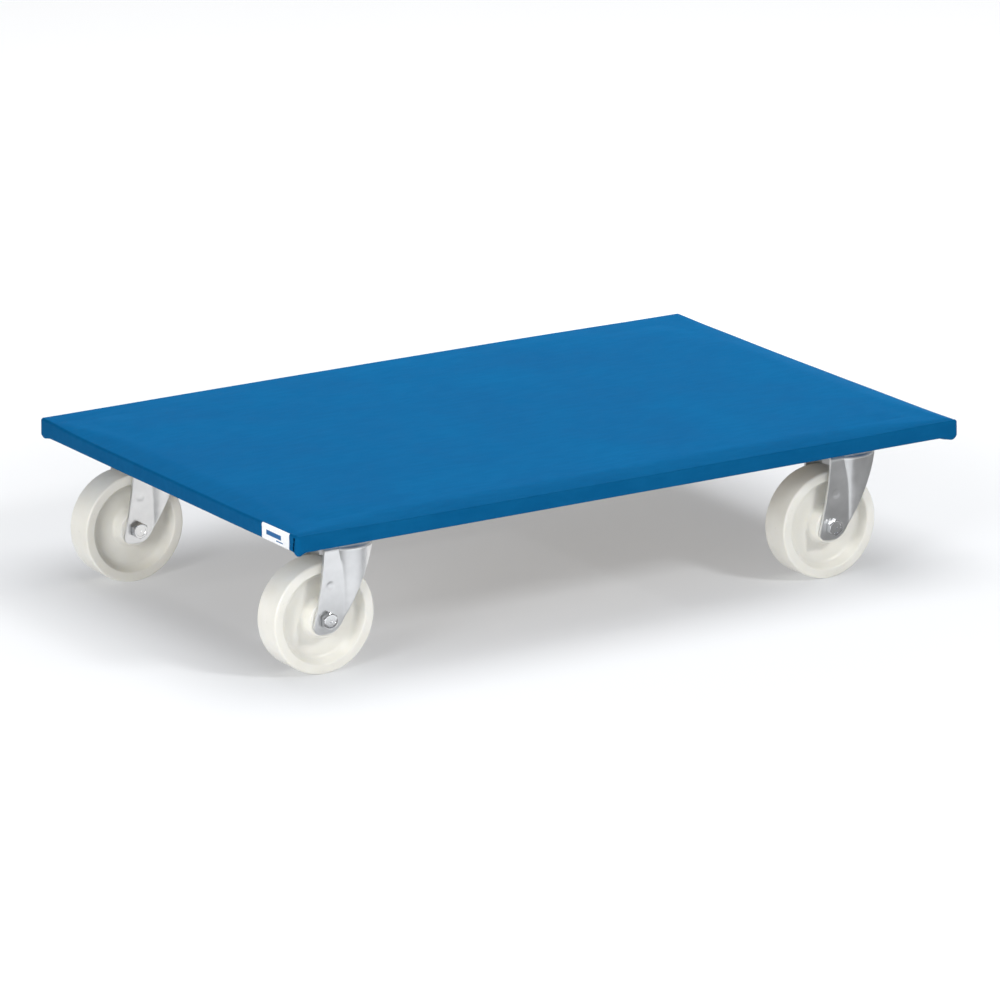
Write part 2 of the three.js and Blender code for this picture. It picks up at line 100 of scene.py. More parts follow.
class Look:
    """A Principled material, and the nodes that make it uneven."""

    def __init__(self, name, color, roughness, metallic=0.0, specular=0.5):
        self.material = bpy.data.materials.new(name)
        self.material.use_nodes = True
        self.tree = self.material.node_tree
        self.shader = self.tree.nodes["Principled BSDF"]
        self.put("Base Color", color)
        self.put("Roughness", roughness)
        self.put("Metallic", metallic)
        self.put("Specular IOR Level", specular)

    def put(self, name, value, node=None):
        """Sets an input to a plain value or another node's output: the shader's, or a node's."""
        socket = (node or self.shader).inputs[name]
        if hasattr(value, "is_linked"):
            self.tree.links.new(value, socket)
        elif socket.type == "RGBA":
            socket.default_value = (*value, 1)
        else:
            socket.default_value = value

    def node(self, kind, inputs, output=0, **settings):
        """One output of a new node, or all of them if output is None."""
        node = self.tree.nodes.new("ShaderNode" + kind)
        for key, value in settings.items():
            setattr(node, key, value)
        for key, value in inputs.items():
            self.put(key, value, node)
        return node.outputs if output is None else node.outputs[output]

    def coordinates(self, scale=(1, 1, 1)):
        place = self.node("TexCoord", {}, "Object")
        return self.node("Mapping", {"Vector": place, "Scale": scale})

    def noise(self, vector, scale, detail=3, roughness=0.5):
        inputs = {"Vector": vector, "Scale": scale, "Detail": detail, "Roughness": roughness}
        return self.node("TexNoise", inputs, "Fac")

    def ramp(self, value, *stops):
        """A colour ramp whose stops are (position, grey or colour)."""
        node = self.tree.nodes.new("ShaderNodeValToRGB")
        elements = node.color_ramp.elements
        while len(elements) < len(stops):
            elements.new(0.5)
        for element, (position, color) in zip(elements, stops):
            element.position = position
            element.color = (*color, 1) if hasattr(color, "__len__") else (color, color, color, 1)
        self.put("Fac", value, node)
        return node.outputs["Color"]

    def mix(self, factor, first, second, blend="MIX"):
        sockets = {0: factor, 6: first, 7: second}  # the colour version's
        return self.node("Mix", sockets, 2, data_type="RGBA", blend_type=blend)

    def multiply(self, first, second):
        return self.mix(1.0, first, second, "MULTIPLY")

    def calculate(self, operation, *values):
        return self.node("Math", dict(enumerate(values)), operation=operation)

    def bump(self, height, strength, distance):
        inputs = {"Height": height, "Strength": strength, "Distance": distance}
        self.put("Normal", self.node("Bump", inputs))


def coated_fabric():
    """Blue PVC-coated canvas: a fine plain weave that shows through a satin coating."""
    look = Look("cover_fabric", (0.001, 0.12, 0.34), 0.55, specular=0.025)
    vector = look.coordinates()
    x, y, z = look.node("SeparateXYZ", {"Vector": vector}, None)
    waves = []
    for along in (x, y):
        place = look.calculate("ADD", along, z)
        angle = look.calculate("MULTIPLY", place, 2 * math.pi / THREAD_PITCH)
        waves.append(look.calculate("SINE", angle))
    height = look.calculate("MULTIPLY_ADD", look.calculate("MULTIPLY", *waves), 0.5, 0.5)
    patches = look.noise(vector, 9, detail=4)
    fine = look.noise(vector, 420, detail=2)
    slubs = look.noise(look.coordinates((40, 150, 90)), 1)
    tone = look.ramp(patches, (0.3, (0.001, 0.096, 0.25)), (0.7, (0.003, 0.109, 0.27)))
    threads = look.ramp(height, (0.0, 0.9), (1.0, 1.0))
    uneven = look.ramp(slubs, (0.35, (0.6, 0.92, 0.94)), (0.65, 1.0))
    look.put("Base Color", look.multiply(tone, look.multiply(threads, uneven)))
    look.put("Roughness", look.ramp(patches, (0.3, 0.46), (0.7, 0.56)))
    look.bump(look.calculate("MULTIPLY_ADD", fine, 0.35, height), 0.35, 0.0002)
    return look.material


def fold_painted_shade():
    """Near-black painted shade for the faces down in a corner fold's groove, standing in for the
    shadow in the slit.
    """
    look = Look("fold_painted_shade", (0.0, 0.01, 0.03), 0.9, specular=0)
    threads = look.noise(look.coordinates(), 600, detail=2)
    look.put("Base Color", look.ramp(threads, (0.3, (0.0, 0.006, 0.02)), (0.7, (0.001, 0.014, 0.04))))
    look.bump(threads, 0.3, 0.0003)
    return look.material


def plywood():
    """Sanded birch plywood with long grain along the deck."""
    look = Look("board_plywood", (0.6, 0.42, 0.25), 0.7)
    grain = look.noise(look.coordinates((1.2, 16, 16)), 5, detail=8, roughness=0.62)
    fine = look.noise(look.coordinates((6, 260, 260)), 3, detail=4)
    pale, middle, dark = (0.47, 0.425, 0.36), (0.385, 0.34, 0.285), (0.26, 0.22, 0.175)
    tone = look.ramp(grain, (0.3, dark), (0.5, middle), (0.72, pale))
    pores = look.ramp(fine, (0.35, 0.78), (0.55, 1.0))
    look.put("Base Color", look.multiply(tone, pores))
    look.bump(fine, 0.25, 0.0004)
    return look.material


def polyamide():
    """Cream cast polyamide: slightly translucent and slightly uneven, with a few small marks."""
    look = Look("wheel_polyamide", (0.86, 0.84, 0.77), 0.36)
    look.put("Subsurface Weight", 0.25)
    look.put("Subsurface Radius", (1.0, 0.9, 0.7))
    look.put("Subsurface Scale", 0.005)
    vector = look.coordinates()
    clouds = look.noise(vector, 22, detail=5)
    specks = look.noise(vector, 130, detail=2)
    tone = look.ramp(clouds, (0.3, (0.8, 0.785, 0.72)), (0.65, (0.86, 0.848, 0.795)))
    marks = look.ramp(specks, (0.22, 0.86), (0.3, 1.0))
    look.put("Base Color", look.multiply(tone, marks))
    look.put("Roughness", look.ramp(clouds, (0.3, 0.3), (0.7, 0.42)))
    look.bump(clouds, 0.12, 0.0008)
    return look.material


def zinc(name, color, low, high, grain_scale):
    """Zinc-plated steel: bright, with the soft blotches that plating leaves."""
    look = Look(name, color, (low + high) / 2, metallic=1.0)
    vector = look.coordinates()
    blotches = look.noise(vector, grain_scale, detail=2, roughness=0.4)
    waves = look.noise(vector, grain_scale / 2, detail=0)
    darker = tuple(c * 0.88 for c in color)
    look.put("Base Color", look.ramp(blotches, (0.3, darker), (0.65, color)))
    look.put("Roughness", look.ramp(blotches, (0.3, low), (0.7, high)))
    look.bump(waves, 0.05, 0.002)
    return look.material


def label_film():
    """White film with one plain blue bar and a short line under it."""
    look = Look("label_film", (0.88, 0.89, 0.9), 0.32)
    look.put("Coat Weight", 0.3)
    vector = look.coordinates()
    _, y, z = look.node("SeparateXYZ", {"Vector": vector}, None)

    def bar(centre_y, half_y, centre_z, half_z):
        inside_y = look.calculate("COMPARE", y, centre_y * MM, half_y * MM)
        inside_z = look.calculate("COMPARE", z, centre_z * MM, half_z * MM)
        return look.calculate("MULTIPLY", inside_y, inside_z)

    printed = look.calculate("MAXIMUM", bar(-234, 15.5, 168.6, 2.6), bar(-246, 7, 163.4, 0.7))
    worn = look.noise(vector, 300)
    white = look.ramp(worn, (0.3, (0.82, 0.83, 0.85)), (0.6, (0.9, 0.91, 0.92)))
    look.put("Base Color", look.mix(printed, white, (0.01, 0.12, 0.33)))
    return look.material


def nylon():
    """The nut's pale locking ring."""
    look = Look("nut_nylon", (0.55, 0.6, 0.68), 0.45)
    clouds = look.noise(look.coordinates(), 180)
    look.put("Base Color", look.ramp(clouds, (0.3, (0.5, 0.55, 0.63)), (0.7, (0.6, 0.65, 0.72))))
    return look.material


FABRIC = coated_fabric()
# painted shade for the faces down in the corner folds' grooves
FOLD_PAINTED_SHADE = fold_painted_shade()
PLYWOOD = plywood()
POLYAMIDE = polyamide()
SHEET_ZINC = zinc("sheet_zinc", (0.84, 0.85, 0.86), 0.28, 0.36, 60)
BRIGHT_ZINC = zinc("bright_zinc", (0.82, 0.83, 0.84), 0.1, 0.18, 90)
FILM = label_film()
NYLON = nylon()


# ---- mesh helpers
def ease(value, zero, one):
    """Rises smoothly from 0 where the value is zero to 1 where it is one, and is level beyond."""
    t = min(1, max(0, (value - zero) / (one - zero)))
    return t * t * (3 - 2 * t)


def place_piece(name, mesh, at=(0, 0, 0)):
    piece = bpy.data.objects.new(name, mesh)
    piece.location = Vector(at) * MM
    bpy.context.scene.collection.objects.link(piece)
    return piece


def shade_smooth(mesh, sharp):
    """Smooth shading, apart from edges over an angle in degrees."""
    mesh.polygons.foreach_set("use_smooth", [True] * len(mesh.polygons))
    mesh.set_sharp_from_angle(angle=math.radians(sharp))


def make_piece(name, shape, materials, sharp=35):
    """A closed mesh from (points in millimetres, faces), or with each face's material slot too."""
    points, faces, *slots = shape
    mesh = bpy.data.meshes.new(name)
    mesh.from_pydata([Vector(p) * MM for p in points], [], faces)
    for material in materials:
        mesh.materials.append(material)
    if slots:
        mesh.polygons.foreach_set("material_index", slots[0])
    work = bmesh.new()
    work.from_mesh(mesh)
    bmesh.ops.recalc_face_normals(work, faces=work.faces)
    work.to_mesh(mesh)
    work.free()
    shade_smooth(mesh, sharp)
    return place_piece(name, mesh)


def apply_modifiers(piece, sharp=60):
    """Makes the modified shape the piece's own mesh."""
    bpy.context.view_layer.update()
    evaluated = piece.evaluated_get(bpy.context.evaluated_depsgraph_get())
    mesh = bpy.data.meshes.new_from_object(evaluated)
    piece.modifiers.clear()
    piece.data = mesh
    shade_smooth(mesh, sharp)


def claim(piece, body, node=None):
    """Parents a piece to its body's empty, and hides the node it replaces."""
    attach(piece, body)
    if node:
        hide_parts(node)


def dress(node, material):
    """Gives a node of the CAD a new material."""
    materials = frame["nodes"][node].data.materials
    materials.clear()
    materials.append(material)


def skin(rows, closed=False, around=True):
    """Faces between rows of points. A row of one point is a pole; around joins a row's ends."""
    points, index = [], []
    for row in rows:
        index.append(range(len(points), len(points) + len(row)))
        points += row
    count = max(len(row) for row in rows)
    faces = []
    pairs = list(zip(index, index[1:])) + ([(index[-1], index[0])] if closed else [])
    for first, second in pairs:
        for k in range(count if around else count - 1):
            after = (k + 1) % count
            corners = [first[k % len(first)], first[after % len(first)]]
            corners += [second[after % len(second)], second[k % len(second)]]
            corners = list(dict.fromkeys(corners))
            if len(corners) > 2:
                faces.append(corners)
    return points, faces


def join(*meshes):
    """Several (points, faces) as one."""
    points, faces = [], []
    for more_points, more_faces in meshes:
        start = len(points)
        points += more_points
        faces += [[start + i for i in face] for face in more_faces]
    return points, faces


def ring(radius, z, count, shift=0):
    """A circle of points, turned by a share of one step, or the pole if the radius is 0."""
    if radius < 1e-6:
        return [(0, 0, z)]
    angles = (2 * math.pi * (k + shift) / count for k in range(count))
    return [(radius * math.cos(a), radius * math.sin(a), z) for a in angles]


def rings(profile, count=HEX_POINTS, shift=0):
    """A circle for each (radius, z) point."""
    return [ring(radius, z, count, shift) for radius, z in profile]


def lathe(profile, count=ROUND_POINTS):
    """A solid turned about +Z from (radius, z) points."""
    solid_axis = profile[0][0] == 0
    return skin(rings(profile, count), closed=not solid_axis)


def rounded(corners, steps=5):
    """An outline from (u, v, radius) corners, with each corner replaced by an arc."""
    outline = []
    for i, (u, v, radius) in enumerate(corners):
        here = Vector((u, v))
        if radius == 0:
            outline.append(tuple(here))
            continue
        before = (Vector(corners[i - 1][:2]) - here).normalized()
        after = (Vector(corners[(i + 1) % len(corners)][:2]) - here).normalized()
        half = before.angle(after) / 2
        centre = here + (before + after).normalized() * radius / math.sin(half)
        start = here + before * radius / math.tan(half) - centre
        end = here + after * radius / math.tan(half) - centre
        sweep = math.pi - 2 * half
        for step in range(steps + 1):
            t = step / steps
            first = math.sin((1 - t) * sweep) / math.sin(sweep)
            last = math.sin(t * sweep) / math.sin(sweep)
            outline.append(tuple(centre + start * first + end * last))
    return outline


def race_groove(race, face_z, steps=10):
    """Profile points of a round groove cut in a level face, from its outer lip to its inner."""
    radius = race["ball"] + 0.15
    lip = math.acos((face_z - race["z"]) / radius)
    sweep = -2 * lip if face_z > race["z"] else 2 * math.pi - 2 * lip
    profile = []
    for step in range(steps + 1):
        angle = lip + sweep * step / steps
        out, up = radius * math.sin(angle), radius * math.cos(angle)
        profile.append((race["radius"] + out, race["z"] + up))
    return profile


def along_y(mesh):
    """Lays a mesh turned about +Z down along +Y."""
    points, faces = mesh
    return [(x, z, -y) for x, y, z in points], faces


def moved(mesh, dx, dy, dz):
    points, faces = mesh
    return [(x + dx, y + dy, z + dz) for x, y, z in points], faces


def hexagon_head(flats, low, high, face_radius):
    """A hexagonal head whose corners are chamfered by a cone at the high end."""
    slope = math.tan(math.radians(30))
    rim, chamfer, foot = [], [], []
    for k in range(HEX_POINTS):
        angle = 2 * math.pi * k / HEX_POINTS
        local = (angle + math.pi / 6) % (math.pi / 3) - math.pi / 6
        reach = flats / 2 / math.cos(local)
        x, y = math.cos(angle), math.sin(angle)
        rim.append((face_radius * x, face_radius * y, high))
        down = max(0, reach - face_radius) * slope
        chamfer.append((reach * x, reach * y, high - down))
        foot.append((reach * x, reach * y, low))
    return rim, chamfer, foot


# ---- wheel and axle
def wheel_mesh():
    """One-piece wheel: rounded tread, rim, dished web on both sides, and a long hub."""
    hub = [(8, 22, 0.8), (20, 22, 1.4)]
    web = [(21.6, 7.4, 3.5), (46, 7, 6)]
    rim = [(51.4, 19, 2.2), (AXLE_Z, 19, 2.4)]
    half = hub + web + rim
    other = [(r, -y, radius) for r, y, radius in reversed(half)]
    return along_y(lathe(rounded(half + other, steps=6), count=144))


def axle_bolt_mesh():
    """Hexagon bolt through the fork, head towards -Y, with its threaded end on the other side."""
    face = LEG_Y + 0.3
    top, end, pitch = face + 6.4, -face - 12, 0.75
    head = hexagon_head(AXLE_HEX, face + 0.5, top, 8.0)
    dish = [(0, top - 0.6), (1.0, top - 0.6), (1.3, top - 0.25), (5.95, top - 0.25), (6.2, top)]
    shank = [(7.9, face + 0.5), (7.9, face), (5, face), (5, -face)]
    shank += [(5 if turn % 2 else 4.55, -face - 0.8 - pitch * turn) for turn in range(12)]
    shank += [(4.9, end + 0.9), (4.1, end), (0, end)]
    points, faces = skin([*rings(dish), *head, *rings(shank)])
    return along_y(([(x, y, -z) for x, y, z in points], faces))


def axle_nut_mesh():
    """Hexagon nut with a collar that holds a nylon ring, as points, faces and material slots."""
    face = LEG_Y + 0.3
    rim, chamfer, foot = hexagon_head(AXLE_HEX, face + 0.4, face + 8, 8.0)
    collar = [(7.5, 8.3), (7.2, 9.8), (6.6, 10.3), (6.3, 10.2)]
    inner = [(5.2, 9.9), (5.2, 0), (7.9, 0), (8.1, 0.4)]
    profile = [(r, face + z) for r, z in collar + inner]
    points, faces = along_y(skin([rim, *rings(profile), foot, chamfer], closed=True))
    nylon_rows = (3, 4)
    return points, faces, [int(i // HEX_POINTS in nylon_rows) for i in range(len(faces))]


def screw_mesh():
    """Hexagon-head wood screw with a flat washer, head down."""
    top = PLATE["low"] - 0.3
    head = hexagon_head(SCREW_HEX, 1.5, 5.5, 6.1)
    dish = [(0, 5.1), (4.3, 5.1), (4.7, 5.5)]
    washer = [(8.6, 1.5), (8.9, 1.2), (8.9, 0.3), (8.6, 0)]
    shank = [(3.9, 0), (3.9, -12), (3.4, -13), (0.6, -17), (0, -17)]
    points, faces = skin([*rings(dish), *head, *rings(washer + shank)])
    return [(x, y, top - z) for x, y, z in points], faces


# ---- swivel head
def rounded_rectangle(x, y, radius, z):
    """A rounded rectangle as one point per direction, so that it can join a circle."""
    row = []
    centre = Vector((x - radius, y - radius))
    for k in range(ROUND_POINTS):
        angle = 2 * math.pi * (k + 0.5) / ROUND_POINTS
        ray = Vector((abs(math.cos(angle)), abs(math.sin(angle))))
        hit = ray * min(x / max(ray.x, 1e-9), y / max(ray.y, 1e-9))
        if hit.x > centre.x and hit.y > centre.y:
            along = ray.dot(centre)
            hit = ray * (along + math.sqrt(along**2 - centre.length_squared + radius**2))
        row.append((math.copysign(hit.x, math.cos(angle)), math.copysign(hit.y, math.sin(angle)), z))
    return row


def top_plate_mesh():
    """The plate, with a countersunk recess for the kingpin and a dish down to the upper race."""
    low, high = PLATE["low"], PLATE["high"]
    recess, dished = high - 3.4, low - 3
    face = UPPER_RACE["z"] + RACE_OPENING / 2
    edge = 0.7
    # Each (inset from the plate's edge, cut from the corner's radius, z).
    outline = [(3, 2, high), (edge, edge, high), (0.2, 0.2, high - 0.2), (0, 0, high - edge)]
    outline += [(0, 0, low + edge), (0.2, 0.2, low + 0.2), (edge, edge, low), (4, 3, low)]
    dish = [(36.5, low), (34.6, low - 0.4), (33.2, low - 1.6), (32.4, dished), (31.6, face + 0.3)]
    dish += [(30.8, face), *race_groove(UPPER_RACE, face), (19.4, face), (18.4, face + 0.3)]
    dish += [(17.2, dished), (7, dished), (6.4, recess), (0, high - 3.5)]
    rows = rings([(0, recess), (9.3, recess), (9.5, high)], ROUND_POINTS, 0.5)
    for inset, cut, z in outline:
        size = (PLATE["x"] - inset, PLATE["y"] - inset, PLATE["corner"] - cut)
        rows.append(rounded_rectangle(*size, z))
    return skin(rows + rings(dish, ROUND_POINTS, 0.5))


def race_ring_mesh():
    """The raised ring on the fork's head that carries both ball races."""
    face = UPPER_RACE["z"] - RACE_OPENING / 2
    under = BEND_Z + BEND - SHEET + 0.2
    profile = [(31.6, under + 0.6), (30.9, under + 3.2), (30.4, face - 1.2), (29.9, face - 0.4)]
    profile += [(29.1, face), *race_groove(UPPER_RACE, face)]
    profile += [(19.6, face), (18.6, face - 0.4), (17, face - 2.4), (15.6, under + 2), (15.4, under)]
    return lathe(profile)


def lower_cup_mesh():
    """The cup under the fork's head that carries the lower race, clamped up to the plate."""
    top = LOWER_RACE["z"] - RACE_OPENING / 2
    low, seat = top - SHEET, PLATE["low"] - 3.3
    profile = [(6.4, low), (21, low), (22.6, low + 0.6), (23.4, low + 2), (23.4, top - 0.6)]
    profile += [(22.8, top), *race_groove(LOWER_RACE, top), (13.2, top)]
    profile += [(12.6, seat - 0.3), (12.2, seat), (6.4, seat)]
    return lathe(profile)


def kingpin_mesh():
    """A rivet: its lower head is domed by the press, and its upper one fills the plate's recess."""
    under = LOWER_RACE["z"] - RACE_OPENING / 2 - SHEET - 0.3
    dome = [(0, under - 3.5), (3, under - 3.4), (6.2, under - 2.9), (8.6, under - 1.9)]
    dome += [(9.8, under - 0.7), (9.9, under)]
    neck, top = PLATE["high"] - 3.1, PLATE["high"] - 0.3
    shank = [(6, under), (6, neck), (9, neck), (9, top - 0.3), (8.7, top), (0, top)]
    return lathe(dome + shank, count=72)


def balls_mesh(race, steps=8):
    """A full ring of loose balls, each a fine ball of its own."""
    size = race["ball"] * 0.98
    angles = [math.pi * step / steps for step in range(1, steps)]
    arc = [(size * math.sin(a), size * math.cos(a)) for a in angles]
    ball = lathe([(0, size), *arc, (0, -size)], count=14)
    places = ring(race["radius"], race["z"], race["count"])
    return join(*(moved(ball, *place) for place in places))


# ---- fork
LEG_COLUMNS = 26
HEAD_COLUMNS = 72
REAR_COLUMNS = 20
CROWN_ROWS = 5
BEND_ROWS = 8
SKIRT_ROWS = 60
HEEL_ROWS = 3
TOE_ROWS = 12
EDGE = 0.45  # rounding of the stamped edges
FRONT = {"x": -16.5, "z": 56.5, "high_x": 28}  # the skirt's sloping lower line, seen from the side
FRONT_SLOPE = (BEND_Z - FRONT["z"]) / (FRONT["high_x"] - FRONT["x"])
HEAD = {"radius": 29.3, "z": 63, "cone": 0.4, "flare_z": 95, "flare": 2.9}
DIMPLE = {"x": -30.5, "z": 100, "flat": 2.5, "rim": 6.2, "depth": 0.5}


def bezier(first, control, last, t):
    return tuple(
        a * (1 - t) ** 2 + 2 * b * t * (1 - t) + c * t**2 for a, b, c in zip(first, control, last)
    )


REAR_CURVE = ((REAR_X, BEND_Z), (-40, 100), (-51, 58))
HEEL_CURVE = ((-51, 58), (-53, FOOT_Z), (-40, FOOT_Z))
TOE_CURVE = ((-14.6, 60), (-21.7, FOOT_Z), (-32, FOOT_Z))


def halve(low, high, beyond):
    """Narrows a range down to where beyond starts to hold."""
    for _ in range(40):
        middle = (low + high) / 2
        if beyond(middle):
            high = middle
        else:
            low = middle
    return low, high


def outline_point(curves, z, pull, side):
    """The point of an edge at height z, and pulled in from the edge."""
    curve = next((c for c in curves if c[2][1] <= z <= c[0][1]), curves[-1])
    low, _ = halve(0.0, 1.0, lambda t: bezier(*curve, t)[1] <= z)
    here = Vector(bezier(*curve, low))
    step = Vector(bezier(*curve, min(1, low + 1e-3))) - Vector(bezier(*curve, max(0, low - 1e-3)))
    inward = Vector((-step.y, step.x)).normalized() * side
    return here + inward * pull


def head_radius(z):
    """The head's skirt is a slight cone that flares towards the shoulder."""
    cone = (z - HEAD["z"]) / (BEND_Z - HEAD["z"])
    flare = max(z - HEAD["flare_z"], 0) / (BEND_Z - HEAD["flare_z"])
    return HEAD["radius"] + HEAD["cone"] * cone + HEAD["flare"] * flare**2


def crease(half_width, radius):
    """The direction from the swivel axis where the round head meets the flat leg."""
    return math.atan2(half_width, -math.sqrt(radius**2 - half_width**2))


def skirt_edge(h, inset, pull):
    """How far down the head's skirt reaches, at fraction h of the way between the creases."""
    shift = pull * math.hypot(1, FRONT_SLOPE) / FRONT_SLOPE

    def gap(z):
        radius = head_radius(z) - inset
        angle = crease(LEG_Y - inset, radius) * (1 - 2 * h)
        line = FRONT["x"] + (z - FRONT["z"]) / FRONT_SLOPE
        return line - shift - radius * math.cos(angle)

    well_above, well_below, softness = BEND_Z + 20, FOOT_Z + 5, 1.1
    high = well_above
    if gap(BEND_Z) > 0:
        _, high = halve(well_below, BEND_Z, lambda z: gap(z) > 0)
    ceiling = BEND_Z - 0.9 + pull
    return ceiling - softness * math.log1p(math.exp((ceiling - high) / softness))


def dimple(x, z):
    """How deep the leg's dimple is pressed in at a place."""
    away = math.hypot(x - DIMPLE["x"], z - DIMPLE["z"])
    return DIMPLE["depth"] * ease(away, DIMPLE["rim"], DIMPLE["flat"])


def fork_rows(inset, pull):
    """The pressed sheet at one depth below its outer face, its edges pulled in. Returns the rows
    from the crown's hole outwards, then the two feet."""
    columns = 2 * LEG_COLUMNS + HEAD_COLUMNS
    shares = [j / LEG_COLUMNS for j in range(LEG_COLUMNS)]

    def around(half_width, radius, rear, level):
        """One row from the rear edge of one leg, round the head, to the other's rear edge."""
        angle = crease(half_width, radius)
        crease_x = radius * math.cos(angle)
        leg = [(rear + (crease_x - rear) * c, half_width, level) for c in shares]
        angles = (angle * (1 - 2 * j / HEAD_COLUMNS) for j in range(HEAD_COLUMNS + 1))
        head = [(radius * math.cos(a), radius * math.sin(a), level) for a in angles]
        return leg + head + [(x, -y, z) for x, y, z in reversed(leg)]

    bend = BEND - inset
    bends = []
    for i in range(BEND_ROWS + 1):
        angle = math.pi / 2 * (1 - i / BEND_ROWS)
        out, up = bend * math.cos(angle), bend * math.sin(angle)
        bends.append(around(LEG_Y - BEND + out, HEAD_RADIUS - BEND + out, REAR_X + pull, BEND_Z + up))

    edges = [skirt_edge(j / HEAD_COLUMNS, inset, pull) for j in range(HEAD_COLUMNS + 1)]
    skirts = []
    for i in range(1, SKIRT_ROWS + 1):
        share = i / SKIRT_ROWS
        row = []
        for j in range(columns + 1):
            in_head = min(max(j - LEG_COLUMNS, 0), HEAD_COLUMNS)
            z = BEND_Z - (BEND_Z - edges[in_head]) * share
            radius = head_radius(z) - inset
            angle = crease(LEG_Y - inset, radius)
            if LEG_COLUMNS <= j <= LEG_COLUMNS + HEAD_COLUMNS:
                angle *= 1 - 2 * in_head / HEAD_COLUMNS
                row.append((radius * math.cos(angle), radius * math.sin(angle), z))
                continue
            start = outline_point((REAR_CURVE, HEEL_CURVE), z, pull, 1)
            x = start.x + (radius * math.cos(angle) - start.x) * min(j, columns - j) / LEG_COLUMNS
            y = LEG_Y - inset - dimple(x, z)
            row.append((x, y if j < LEG_COLUMNS else -y, z))
        skirts.append(row)

    crease_z, heel_z, toe_z = edges[0], HEEL_CURVE[0][1], TOE_CURVE[0][1]
    heights = [crease_z + (heel_z - crease_z) * i / HEEL_ROWS for i in range(1, HEEL_ROWS + 1)]
    heights += [bezier(*HEEL_CURVE, i / TOE_ROWS)[1] for i in range(1, TOE_ROWS + 1)]
    corner = skirts[-1][LEG_COLUMNS]
    foot = []
    for z in heights:
        start = outline_point((REAR_CURVE, HEEL_CURVE), z, pull, 1)
        end = outline_point((TOE_CURVE,), min(z, toe_z), pull, -1)
        if z > toe_z:
            end = Vector((corner[0], corner[2])).lerp(end, (crease_z - z) / (crease_z - toe_z))
        places = (start.lerp(end, j / LEG_COLUMNS) for j in range(LEG_COLUMNS + 1))
        foot.append([(place.x, LEG_Y - inset, place.y) for place in places])
    other_foot = [[(x, -y, z) for x, y, z in row] for row in foot]

    rim = bends[0]
    rear_y, level = rim[0][1:]
    across = (rear_y * (2 * k / REAR_COLUMNS - 1) for k in range(1, REAR_COLUMNS))
    outer = rim + [(REAR_X + pull, y, level) for y in across]
    crowns = []
    for i in range(1, CROWN_ROWS + 1):
        share = i / CROWN_ROWS
        row = []
        for x, y, z in outer:
            factor = 1 + ((CROWN_HOLE + pull) / math.hypot(x, y) - 1) * share
            row.append((x * factor, y * factor, z))
        crowns.append(row)
    return outer, crowns, bends[1:] + skirts, (foot, other_foot)


def strip(first, second, around=True):
    """Faces between two rows that have as many indices."""
    count = len(first)
    return [
        [first[k], first[(k + 1) % count], second[(k + 1) % count], second[k]]
        for k in range(count if around else count - 1)
    ]


def fork_sheet(inset, pull):
    """One face of the sheet as points and faces, with the indices of its two border loops."""
    outer, crowns, rows, feet = fork_rows(inset, pull)
    points, faces = list(outer), []

    def grow(last, new_rows, around=False):
        """Adds rows of points, each joined to the one before, and returns their indices."""
        grown = []
        for row in new_rows:
            here = list(range(len(points), len(points) + len(row)))
            points.extend(row)
            faces.extend(strip(last, here, around))
            grown.append(here)
            last = here
        return grown

    loop = list(range(len(outer)))
    hole = grow(loop, crowns, around=True)[-1]
    columns = len(rows[0])
    grid = [loop[:columns], *grow(loop[:columns], rows)]
    first = grow(grid[-1][: LEG_COLUMNS + 1], feet[0])
    second = grow(grid[-1][::-1][: LEG_COLUMNS + 1], feet[1])

    def ends(of_rows, k):
        return [row[k] for row in of_rows]

    border = loop[columns:] + ends(grid + first, 0) + first[-1][1:] + ends(first[-2::-1], -1)
    border += grid[-1][LEG_COLUMNS : columns - LEG_COLUMNS] + ends(second[:-1], -1)
    border += second[-1][::-1] + ends(second[-2::-1], 0) + ends(reversed(grid), -1)
    return points, faces, border, hole


def fork_mesh():
    """The pressed sheet as one closed body with softly rounded cut edges."""
    small = EDGE * 0.29
    layers = [(0, EDGE), (small, small), (EDGE, 0), (SHEET - EDGE, 0), (SHEET - small, small)]
    layers.append((SHEET, EDGE))
    points, faces, border, hole = fork_sheet(*layers[0])
    before = (border, hole)
    for inset, pull in layers[1:]:
        more, more_faces, border, hole = fork_sheet(inset, pull)
        start = len(points)
        if (inset, pull) == layers[-1]:
            points += more
            faces += [[start + i for i in reversed(face)] for face in more_faces]
            here = tuple([start + i for i in ids] for ids in (border, hole))
        else:
            points += [more[i] for i in border] + [more[i] for i in hole]
            middle = start + len(border)
            here = (list(range(start, middle)), list(range(middle, middle + len(hole))))
        for old, new in zip(before, here):
            faces += strip(old, new)
        before = here
    return points, faces


# ---- casters
def make_fork():
    """The pressed sheet and its race ring, joined into one closed mesh."""
    fork = make_piece("fork", fork_mesh(), [SHEET_ZINC])
    race = make_piece("race", race_ring_mesh(), [SHEET_ZINC])
    unite = fork.modifiers.new("unite", "BOOLEAN")
    unite.operation, unite.solver, unite.object = "UNION", "EXACT", race
    apply_modifiers(fork, sharp=32)
    bpy.data.objects.remove(race)
    return fork


